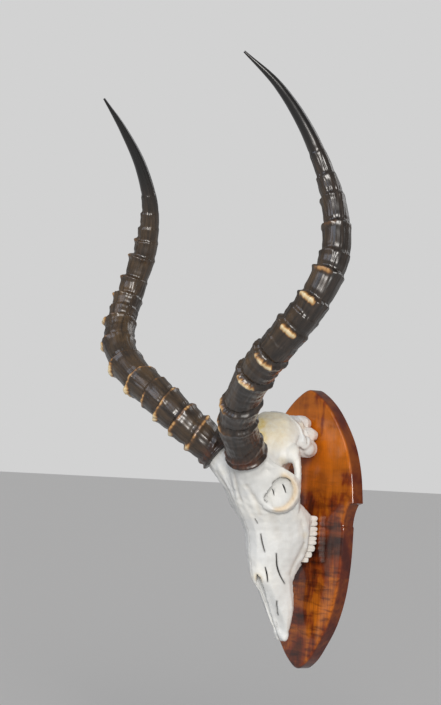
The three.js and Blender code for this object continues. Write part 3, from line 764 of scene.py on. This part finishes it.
def draw_in_snout(bm):
    """Brings the front edges of the snout closer together below the nose bones."""
    for vert in bm.verts:
        x, y, z = vert.co / MM
        front = -78 - 0.53 * (58 + z)  # where the slanting front edge lies at this height
        share = smooth_step(-58, -74, z) * smooth_step(-127, -112, z) * smooth_step(10, 1, y - front)
        vert.co.x *= 1 - SNOUT_DRAW * share
        vert.co.y += SNOUT_LIFT * share * MM


def soften_along(bm, tree, points, reach, rounds):
    """Evens out the bone near a line, before a sharper form is drawn there."""
    lookups = traced(tree, points)
    close = [vert for vert in bm.verts if min(look.find(vert.co)[2] for look in lookups) < reach * MM]
    for _ in range(rounds):
        bmesh.ops.smooth_vert(bm, verts=close, factor=0.5, use_axis_x=True, use_axis_y=True, use_axis_z=True)


def loft(bm, loops):
    """Skin through loops with the same number of points, open at the last one."""
    ring = bmesh.ops.create_circle(bm, cap_ends=True, segments=len(loops[0]), radius=1.0)["verts"]
    edges = unique(ring, "link_edges")
    for number, loop in enumerate(loops):
        if number:
            grown = bmesh.ops.extrude_edge_only(bm, edges=edges)["geom"]
            fresh = {item for item in grown if isinstance(item, bmesh.types.BMVert)}
            edges = [e for e in grown if isinstance(e, bmesh.types.BMEdge) and set(e.verts) <= fresh]
            ring = [next(e.other_vert(vert) for e in vert.link_edges if e.other_vert(vert) in fresh)
                    for vert in ring]
        for vert, point in zip(ring, loop):
            vert.co = point


def blade(bm, dense, normals, width):
    """Thin lens-shaped blade along a line on the surface."""
    loops = []
    for index, (point, normal) in enumerate(zip(dense, normals)):
        ahead = dense[min(index + 1, len(dense) - 1)] - dense[max(index - 1, 0)]
        across = ahead.normalized().cross(normal).normalized()
        swell = math.sin(math.pi * (0.06 + 0.88 * index / (len(dense) - 1))) ** 0.8
        half = across * (width / 2 * swell * MM)
        out = normal * BLADE_OUT * MM
        inwards = normal * (-BLADE_DEPTH * swell * MM)
        loops.append((point + half + out, point - half + out, point - half + inwards, point + half + inwards))
    loft(bm, loops)


def cutter_object(bm, name):
    """Closes the ends of the cutters and puts their parts in a fixed order, which extruding doesn't give."""
    bmesh.ops.holes_fill(bm, edges=[edge for edge in bm.edges if edge.is_boundary], sides=0)
    bm.verts.index_update()
    count = len(bm.verts)

    def rank(item):
        total = 0
        for index in sorted(vert.index for vert in item.verts)[:3]:
            total = total * count + index
        return total

    bm.edges.sort(key=rank)
    bm.faces.sort(key=rank)
    bmesh.ops.recalc_face_normals(bm, faces=bm.faces)
    return mesh_object(bm, name)


def slit_blades(tree):
    """Cutters for the open slits, as one mesh object."""
    bm = bmesh.new()
    for points, width in FACE_SLITS:
        for line in both_sides(points):
            dense = on_surface(tree, line, step=1.5)
            blade(bm, dense, [tree.find_nearest(p)[1] for p in dense], width)
    for points, width, depth in ORBIT_CRACKS:
        curve = spline([(*point, 0) for point in points], 4)
        for side, dense in zip((1, -1), both_sides([in_orbit(p.x, p.y, depth) for p in curve])):
            facing = Vector((ORBIT_FACING[0] * side, *ORBIT_FACING[1:])).normalized()
            blade(bm, dense, [facing] * len(dense), width)
    return cutter_object(bm, "slit_blades")


def orbit_outline():
    """Closed outline of the eye socket's opening, crumbled along its upper front."""
    points = [Vector((*point, 0)) for point in ORBIT_OUTLINE]
    route = Route(points + points[:1])
    result = []
    for index in range(ORBIT_POINTS):
        point = route.place(route.length * index / ORBIT_POINTS)[0].copy()
        share = smooth_step(-8, 4, point.x + 0.5 * point.y)
        result.append(point + wander(point * 0.33) * Vector((1, 1, 0)) * (1.5 * share))
    return result


def orbit_cutters():
    """Two scoops that open the eye sockets, steep in front and easing out at the back."""
    outline = orbit_outline()
    deepest = Vector((*ORBIT_DEEPEST, 0))
    sides = []
    for scale, depth in SCOOP_ABOVE + [(part, -ORBIT_DEPTH * (1 - part ** 2.2)) for part in SCOOP_BELOW]:
        placed = [deepest + (point - deepest) * scale for point in outline]
        sides.append(both_sides([in_orbit(point.x, point.y, depth) for point in placed]))
    bm = bmesh.new()
    for loops in zip(*sides):
        loft(bm, loops)
    return cutter_object(bm, "orbit_cutters")


def cut_away(bm, cutters):
    """The bone without what the cutters cover, as a new bmesh."""
    piece = mesh_object(bm, "bone_before")
    cut = piece.modifiers.new("cut", "BOOLEAN")
    cut.operation = "DIFFERENCE"
    cut.solver = "EXACT"
    cut.object = cutters
    mesh = evaluated(piece)
    bpy.data.objects.remove(cutters)
    bm = bmesh.new()
    bm.from_mesh(mesh)
    return bm


def carve(bm, tree):
    """Furrows, ridges, sutures and the worn surface of the bone, with painted shade marked in its furrows and
    dips.
    """
    lines = [(line, height, width) for points, height, width in RELIEF for line in both_sides(points)]
    lines.append(([Vector(point) * MM for point in NUCHAL_EDGE], *NUCHAL_LINES[0]))
    lines.append(([Vector((x, y + 3.6, z - 0.6)) * MM for x, y, z in NUCHAL_EDGE], *NUCHAL_LINES[1]))
    lines += [(line, *SUTURE_LINE) for points in SUTURES for line in both_sides(points)]
    lookups = []
    for line, height, width in lines:
        samples = on_surface(tree, line)
        if width < 1:
            samples = [p + wander(p * 420) * 1.4 * MM for p in samples]
        lookups.append((near_line(samples), height, width))
    hollow = bm.verts.layers.float.new("hollow")
    bm.normal_update()
    moves = []
    for vert in bm.verts:
        point = vert.co
        drawn = 0.0
        for lookup, height, width in lookups:
            away = lookup.find(point)[2] / MM
            if away < 3 * width:
                drawn += height * bell(away, width)
        rough = sum(height * noise.noise(point * fineness) for fineness, height in BONE_NOISE)
        moves.append(drawn + rough)
        # Painted shade: the furrows and dips of the bone are marked to be darkened.
        vert[hollow] = smooth_step(0.3, -2.4, drawn + 0.5 * rough)
    for vert, move in zip(bm.verts, moves):
        vert.co += vert.normal * (move * MM)


def spotted(point, patches, core):
    """How strongly a point is stained by patches that fade out from a core, on both sides of the skull."""
    mirrored = Vector((abs(point.x), point.y, point.z)) / MM
    return max(strength * smooth_step(radius, radius * core, (mirrored - Vector(centre)).length)
               for centre, radius, strength in patches)


def tint(bm, tree):
    """Marks where the bone is cream or beige and where its sutures are dark, and where shade is painted: in
    the hollows, along and inside the slits and at the socket's upper front edge.
    """
    cream, beige, crack = [bm.verts.layers.float.new(mark) for mark in ("cream", "beige", "crack")]
    hollow = bm.verts.layers.float["hollow"]
    # Painted shade along the slits; the sutures are real dark joints.
    dark = [(line, 0.8, width * 0.55) for points, width in FACE_SLITS for line in traced(tree, points)]
    dark += [(line, 0.32, 0.7) for points in SUTURES[1:] for line in traced(tree, points)]
    # Painted shade along the upper front edge of the socket.
    edge = [in_orbit(point.x, point.y, out / 2) for point in orbit_outline() if point.x + 0.5 * point.y > -1
            for out in range(-1, 9)]
    dark += [(near_line(line), 0.9, 0.9) for line in both_sides(edge)]
    rims = traced(tree, BEIGE_RIM)
    for vert in bm.verts:
        point = vert.co
        vert[cream] = max(0.05, spotted(point, CREAM_PATCHES, 0.25))
        vert[beige] = 0.8 * bell(min(rim.find(point)[2] for rim in rims) / MM, 4.0)
        # Painted shade in the corners of the nose and palate, over half the painted shade of the furrows.
        vert[hollow] = max(0.5 * vert[hollow], spotted(point, HOLLOW_SHADE_PATCHES, 0.4))
        # What lies under the uncut surface is the inside of a slit, where shade is painted.
        inside = smooth_step(0.15, 0.7, tree.find_nearest(point)[3] / MM)
        vert[crack] = max([inside] + [strength * bell(look.find(point)[2] / MM, width)
                                      for look, strength, width in dark])


def skull_piece(settings, material):
    """The skull: fused, its sockets scooped out, then worn, furrowed and slit."""
    bm = bmesh.new()
    bm.from_mesh(fused_skull(settings))
    draw_in_snout(bm)
    bm = cut_away(bm, orbit_cutters())
    tree = BVHTree.FromBMesh(bm)
    soften_along(bm, tree, NUCHAL_EDGE[6:], 8, 30)
    rim = [in_orbit(p.x, p.y, 1) for p in orbit_outline() if p.x + 0.5 * p.y < -6]
    soften_along(bm, tree, rim, 4, 6)
    front = [in_orbit(19 * math.cos(turn), 2 + 19 * math.sin(turn), 1)
             for turn in map(math.radians, range(-70, 81, 10))]
    soften_along(bm, tree, front, 8, 90)
    bm.normal_update()
    tree = BVHTree.FromBMesh(bm)
    blades = slit_blades(tree)
    carve(bm, tree)
    tree = BVHTree.FromBMesh(bm)
    bm = cut_away(bm, blades)
    tint(bm, tree)
    return finish_piece(bm, "skull_bone", material, "bleached_bone", "skull")


# ------------------------------------------------------------------ teeth


def tooth_piece(node, wear, material):
    """Cheek tooth: one lobe or two crescent lobes, ribs on its cheek side and a cusped chewing face."""
    low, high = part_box(node)
    side = 1 if low.x > 0 else -1
    centre = (low + high) / 2
    half = (high - low) / 2
    double = high.z - low.z > MOLAR_LENGTH * MM
    high.y -= wear * MM
    bm = bmesh.new()
    stain = bm.verts.layers.float.new("stain")
    values = {}

    def place(turn, rise):
        angle = turn * 2 * math.pi
        c, s = math.cos(angle), math.sin(angle)
        square = max(abs(c), abs(s)) ** 0.93
        along, out = c / square, s / square
        fold = (0.13 if s > 0 else 0.25) * bell(along, 0.12) * abs(s) if double else 0.0
        rib = 0.04 * math.cos(3 * math.pi * along) * max(s, 0)
        lobe = abs(math.sin(math.pi * along)) if double else math.cos(math.pi * along / 2)
        crown = smooth_step(0.8, 1.0, rise)
        scale = (0.94 + 0.08 * smooth_step(0.1, 0.5, rise)) * (1 - 0.06 * crown)
        cusp = (1 - min(max(lobe, 0), 1) ** 0.6) * (0.09 + 0.05 * s)
        y = low.y + (high.y - low.y) * rise * (1 - cusp * smooth_step(0.6, 1.0, rise))
        values[(turn, rise)] = min(1.0, 0.4 * smooth_step(0.5, 0.3, rise) + 0.05 * crown + 0.8 * fold)
        return Vector((centre.x + side * out * (1 + rib - fold) * scale * half.x * 0.95,
                       y, centre.z + along * scale * half.z))

    fractions = wrapped_grid(bm, 40, 20, place)
    for vert, key in fractions.items():
        vert[stain] = values[key]
    close_up(bm, 0.02 * MM)
    caps = [face for face in bm.faces if len(face.verts) > 4 and face.calc_center_median().y > centre.y]
    for face in caps:
        bmesh.ops.inset_region(bm, faces=[face], thickness=1.1 * MM, depth=0.0)
        bmesh.ops.inset_region(bm, faces=[face], thickness=0.5 * MM, depth=-1.0 * MM)
        for vert in face.verts:
            vert[stain] = 0.9
    return finish_piece(bm, node.replace("tooth", "molar"), material, "tooth_enamel", node)


# ------------------------------------------------------------------ plaque


def plaque_outline():
    """Right half of the outline from apex to foot, as (x, z) points in mm."""
    def curve(points, spans):
        return [(p.x, p.z) for p in spline([(x, 0, z) for x, z in points], spans)]

    mirrored = (-PLAQUE_UPPER[0][0], PLAQUE_UPPER[0][1])
    upper = curve([mirrored, PLAQUE_TOP, *PLAQUE_UPPER], 10)[10:]
    cove = []
    for step in range(9):
        t = step / 8
        weights = ((1 - t) ** 2, 2 * t * (1 - t), t ** 2)
        points = (PLAQUE_STEP, PLAQUE_COVE, PLAQUE_CORNER)
        cove.append(tuple(sum(w * p[k] for w, p in zip(weights, points)) for k in (0, 1)))
    foot = (-PLAQUE_LOWER[-1][0], PLAQUE_LOWER[-1][1])
    lower = curve([*PLAQUE_LOWER, PLAQUE_BOTTOM, foot], 10)[:-10]
    return upper + cove + lower


def plaque_piece(settings, material):
    """The board: its outline raised from the wall, with a rounded front edge."""
    half = plaque_outline()
    outline = half + [(-x, z) for x, z in reversed(half[1:-1])]
    bm = bmesh.new()
    back = bm.faces.new([bm.verts.new((x * MM, 0, z * MM)) for x, z in outline])
    front = bmesh.ops.extrude_face_region(bm, geom=[back])["geom"]
    raised = [item for item in front if isinstance(item, bmesh.types.BMVert)]
    bmesh.ops.translate(bm, verts=raised, vec=(0, -PLAQUE_THICKNESS * MM, 0))
    bmesh.ops.recalc_face_normals(bm, faces=bm.faces)
    rim = [edge for edge in bm.edges if all(vert.co.y < -0.5 * PLAQUE_THICKNESS * MM for vert in edge.verts)]
    bmesh.ops.bevel(bm, geom=rim, offset=settings.edge_radius, offset_type="OFFSET", affect="EDGES",
                    segments=EDGE_ROUNDS, profile=0.5, material=-1, clamp_overlap=True)
    for edge in bm.edges:
        edge.smooth = edge.calc_face_angle() < SHARP_FACES
    return finish_piece(bm, "plaque_board", material, "lacquered_wood", "plaque")


# ------------------------------------------------------------------ settings


def colour_setting(name, description, code):
    return FloatVectorProperty(
        name=name, description=description, subtype="COLOR", size=4, default=linear(code), min=0, max=1)


class MOUNT_PG_horns(bpy.types.PropertyGroup):
    around: IntProperty(name="Around", description="Facets around a horn", default=120, min=24)
    rows: IntProperty(name="Rows", description="Rows of facets along a horn", default=720, min=100)
    body_colour: colour_setting("Body", "Horn between the rings", "#2a211a")
    # Partly the horn's weathered colour and partly painted light on the front and inner side.
    front_weathered_and_lit_colour: colour_setting("Front", "Weathered inner and front side of the horn", "#4d3a22")
    crest_colour: colour_setting("Crests", "Rubbed pads on the rings", "#dec18b")


class MOUNT_PG_skull(bpy.types.PropertyGroup):
    voxel: FloatProperty(
        name="Grain", description="Size of the facets of the bone", default=1.25 * MM, min=0.8 * MM,
        subtype="DISTANCE", unit="LENGTH")
    passes: IntProperty(name="Passes", description="Rounds of smoothing", default=3, min=0)
    softness: FloatProperty(name="Softness", description="Strength of a round of smoothing", default=1.3)
    bone_colour: colour_setting("Bone", "Bleached bone", "#dfe1e1")
    cream_colour: colour_setting("Cream", "Bone stained by fat", "#e9d08a")


class MOUNT_PG_teeth(bpy.types.PropertyGroup):
    enamel_colour: colour_setting("Enamel", "Enamel of the cheek teeth", "#f3f2ec")


class MOUNT_PG_plaque(bpy.types.PropertyGroup):
    edge_radius: FloatProperty(
        name="Edge radius", description="Radius of the board's front edge", default=6 * MM, min=0.5 * MM,
        subtype="DISTANCE", unit="LENGTH")
    amber_colour: colour_setting("Amber", "Lightest figure of the wood", "#b9630f")
    brown_colour: colour_setting("Brown", "Stained wood", "#85360b")
    # The darkest colour also gives the painted shade on the board's side.
    dark_colour: colour_setting("Dark", "Darkest flames and the board's side", "#3a1209")


class MOUNT_PG_stage(bpy.types.PropertyGroup):
    floor_drop: FloatProperty(
        name="Floor drop", description="Height of the plaque's middle over the floor", default=0.42,
        subtype="DISTANCE", unit="LENGTH")
    floor_colour: colour_setting("Floor colour", "Colour of the plain floor", "#dcdbd9")
    backdrop_colour: colour_setting("Backdrop colour", "Colour of the plain surroundings", "#d2d2d2")
    key_strength: FloatProperty(name="Key light", description="Strength of the main light", default=2.3)


# ------------------------------------------------------------------ operators


class MOUNT_OT_plaque(bpy.types.Operator):
    """Builds the lacquered board"""
    bl_idname = "mount.plaque"
    bl_label = "Plaque"

    def execute(self, context):
        settings = context.scene.mount_plaque
        plaque_piece(settings, lacquered_wood(settings))
        return {"FINISHED"}


class MOUNT_OT_skull(bpy.types.Operator):
    """Builds the skull without its lower jaw"""
    bl_idname = "mount.skull"
    bl_label = "Skull"

    def execute(self, context):
        settings = context.scene.mount_skull
        skull_piece(settings, bleached_bone(settings))
        return {"FINISHED"}


class MOUNT_OT_horns(bpy.types.Operator):
    """Builds both ringed horn sheaths"""
    bl_idname = "mount.horns"
    bl_label = "Horns"

    def execute(self, context):
        settings = context.scene.mount_horns
        material = keratin_horn(settings)
        horn_piece("horn_sheath_left", LEFT_RINGS, 0.15, 0.68, 1, 4.0, settings, material)
        horn_piece("horn_sheath_right", RIGHT_RINGS, 0.85, 0.62, -1, 9.0, settings, material)
        return {"FINISHED"}


class MOUNT_OT_teeth(bpy.types.Operator):
    """Builds the two rows of cheek teeth"""
    bl_idname = "mount.teeth"
    bl_label = "Teeth"

    def execute(self, context):
        material = tooth_enamel(context.scene.mount_teeth)
        for side in ("left", "right"):
            for number in range(1, TEETH_PER_ROW + 1):
                tooth_piece(f"tooth_{side}_{number}", CROWN_WEAR[number - 1], material)
        return {"FINISHED"}


class MOUNT_OT_stage(bpy.types.Operator):
    """Sets the floor, the lights and the camera"""
    bl_idname = "mount.stage"
    bl_label = "Stage"

    def execute(self, context):
        settings = context.scene.mount_stage
        make_floor(settings)
        make_lights(settings)
        make_camera()
        return {"FINISHED"}


def make_floor(settings):
    bm = bmesh.new()
    down = Matrix.Translation((0, 0, -settings.floor_drop))
    bmesh.ops.create_circle(bm, cap_ends=True, segments=96, radius=60.0, matrix=down)
    material, tree, shader = new_material("floor_matt_paint")
    link(tree, shader, Base_Color=settings.floor_colour, Roughness=0.9, Specular_IOR_Level=0.0)
    floor = mesh_object(bm, "floor")
    floor.data.materials.append(material)


def sun_light(name, azimuth, elevation, spread, strength, colour="#ffffff"):
    """Even light from a wide soft source: azimuth 0 is in front of the wall and 90 at the animal's left."""
    turn, rise = math.radians(azimuth), math.radians(elevation)
    data = bpy.data.lights.new(name, "SUN")
    data.angle = math.radians(spread)
    data.energy = strength
    data.color = linear(colour)[:3]
    towards = Vector((math.sin(turn) * math.cos(rise), -math.cos(turn) * math.cos(rise), math.sin(rise)))
    linked_object(name, data).rotation_euler = towards.to_track_quat("Z", "Y").to_euler()


def make_lights(settings):
    sun_light("key_light", 60, 15, 20, settings.key_strength, "#fffbf6")
    sun_light("front_light", 5, 34, 40, settings.key_strength * 0.3, "#e2ecff")
    sun_light("back_light", 180, 30, 30, settings.key_strength * 0.16)
    world = bpy.data.worlds.new("studio")
    world.use_nodes = True
    tree = world.node_tree
    background = tree.nodes["Background"]
    background.inputs["Color"].default_value = settings.backdrop_colour
    # The surroundings look pale but give only a low fill, so that forms keep their shading.
    seen = add(tree, "ShaderNodeLightPath").outputs["Is Camera Ray"]
    tree.links.new(product_plus(tree, seen, 0.65, 0.35), background.inputs["Strength"])
    bpy.context.scene.world = world
    bpy.context.scene.view_settings.view_transform = "Standard"


def make_camera():
    turn, rise, roll = map(math.radians, (CAMERA_TURN, CAMERA_RISE, CAMERA_ROLL))
    look = Vector((-math.sin(turn) * math.cos(rise), math.cos(turn) * math.cos(rise), math.sin(rise)))
    level = Vector((math.cos(turn), math.sin(turn), 0))
    upright = level.cross(look)
    right = level * math.cos(roll) + upright * math.sin(roll)
    up = upright * math.cos(roll) - level * math.sin(roll)
    data = bpy.data.cameras.new("camera")
    data.sensor_fit = "VERTICAL"
    data.sensor_height = SENSOR_HEIGHT
    data.lens = LENS
    data.clip_end = 200
    camera = linked_object("camera", data)
    axes = Matrix((right, up, -look)).transposed().to_4x4()
    camera.matrix_world = Matrix.Translation(Vector(CAMERA_PLACE) * MM) @ axes
    bpy.context.scene.camera = camera


class MOUNT_PT_panel(bpy.types.Panel):
    bl_label = "Skull Mount"
    bl_idname = "MOUNT_PT_panel"
    bl_space_type = "VIEW_3D"
    bl_region_type = "UI"
    bl_category = "Skull Mount"

    def draw(self, context):
        for name in PIECES:
            settings = getattr(context.scene, "mount_" + name)
            box = self.layout.box()
            box.operator("mount." + name)
            for key in settings.__annotations__:
                box.prop(settings, key)


PIECES = {
    "stage": (MOUNT_PG_stage, MOUNT_OT_stage), "plaque": (MOUNT_PG_plaque, MOUNT_OT_plaque),
    "skull": (MOUNT_PG_skull, MOUNT_OT_skull), "horns": (MOUNT_PG_horns, MOUNT_OT_horns),
    "teeth": (MOUNT_PG_teeth, MOUNT_OT_teeth),
}


def register():
    for name, (group, operator) in PIECES.items():
        bpy.utils.register_class(group)
        bpy.utils.register_class(operator)
        setattr(bpy.types.Scene, "mount_" + name, PointerProperty(type=group))
    bpy.utils.register_class(MOUNT_PT_panel)


def unregister():
    bpy.utils.unregister_class(MOUNT_PT_panel)
    for name, (group, operator) in PIECES.items():
        delattr(bpy.types.Scene, "mount_" + name)
        bpy.utils.unregister_class(operator)
        bpy.utils.unregister_class(group)


def main():
    register()
    for name in PIECES:
        getattr(bpy.ops.mount, name)()


if __name__ == "__main__":
    main()
